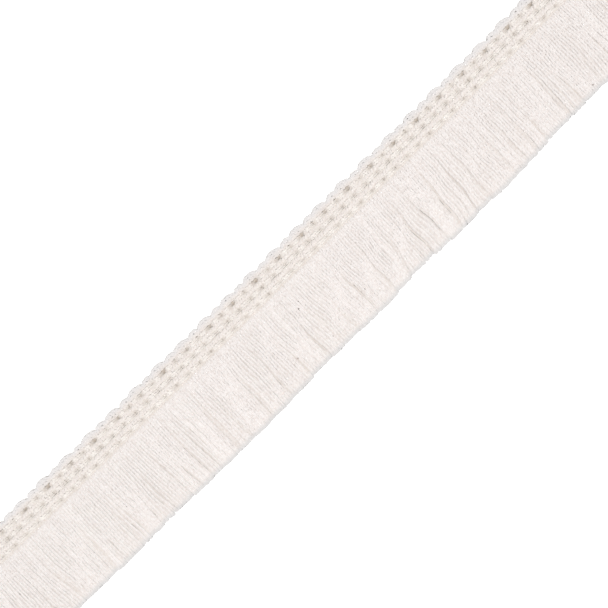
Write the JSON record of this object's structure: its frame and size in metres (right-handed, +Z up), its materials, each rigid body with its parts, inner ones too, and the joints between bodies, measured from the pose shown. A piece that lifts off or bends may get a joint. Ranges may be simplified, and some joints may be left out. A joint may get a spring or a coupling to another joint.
{
  "type": "brush fringe trim",
  "caption": "Flat cut length of cotton brush fringe: a narrow woven heading with a looped picot edge over a thick skirt of cut threads.",
  "frame": {"origin": "middle of the trim's underside, at half its length and half its width", "axes": "+X runs along the trim, +Y points from the skirt's hem at the heading's picot edge, +Z is up from the surface it lies on"},
  "size_m": [0.26, 0.0332, 0.0033],
  "materials": {
    "heading_cotton": "matt woven natural cotton yarn",
    "fringe_cotton": "matt brushed cut cotton threads"
  },
  "bodies": {
    "root": {"heading": "heading_cotton", "fringe_skirt": "fringe_cotton"}
  },
  "joints": []
}
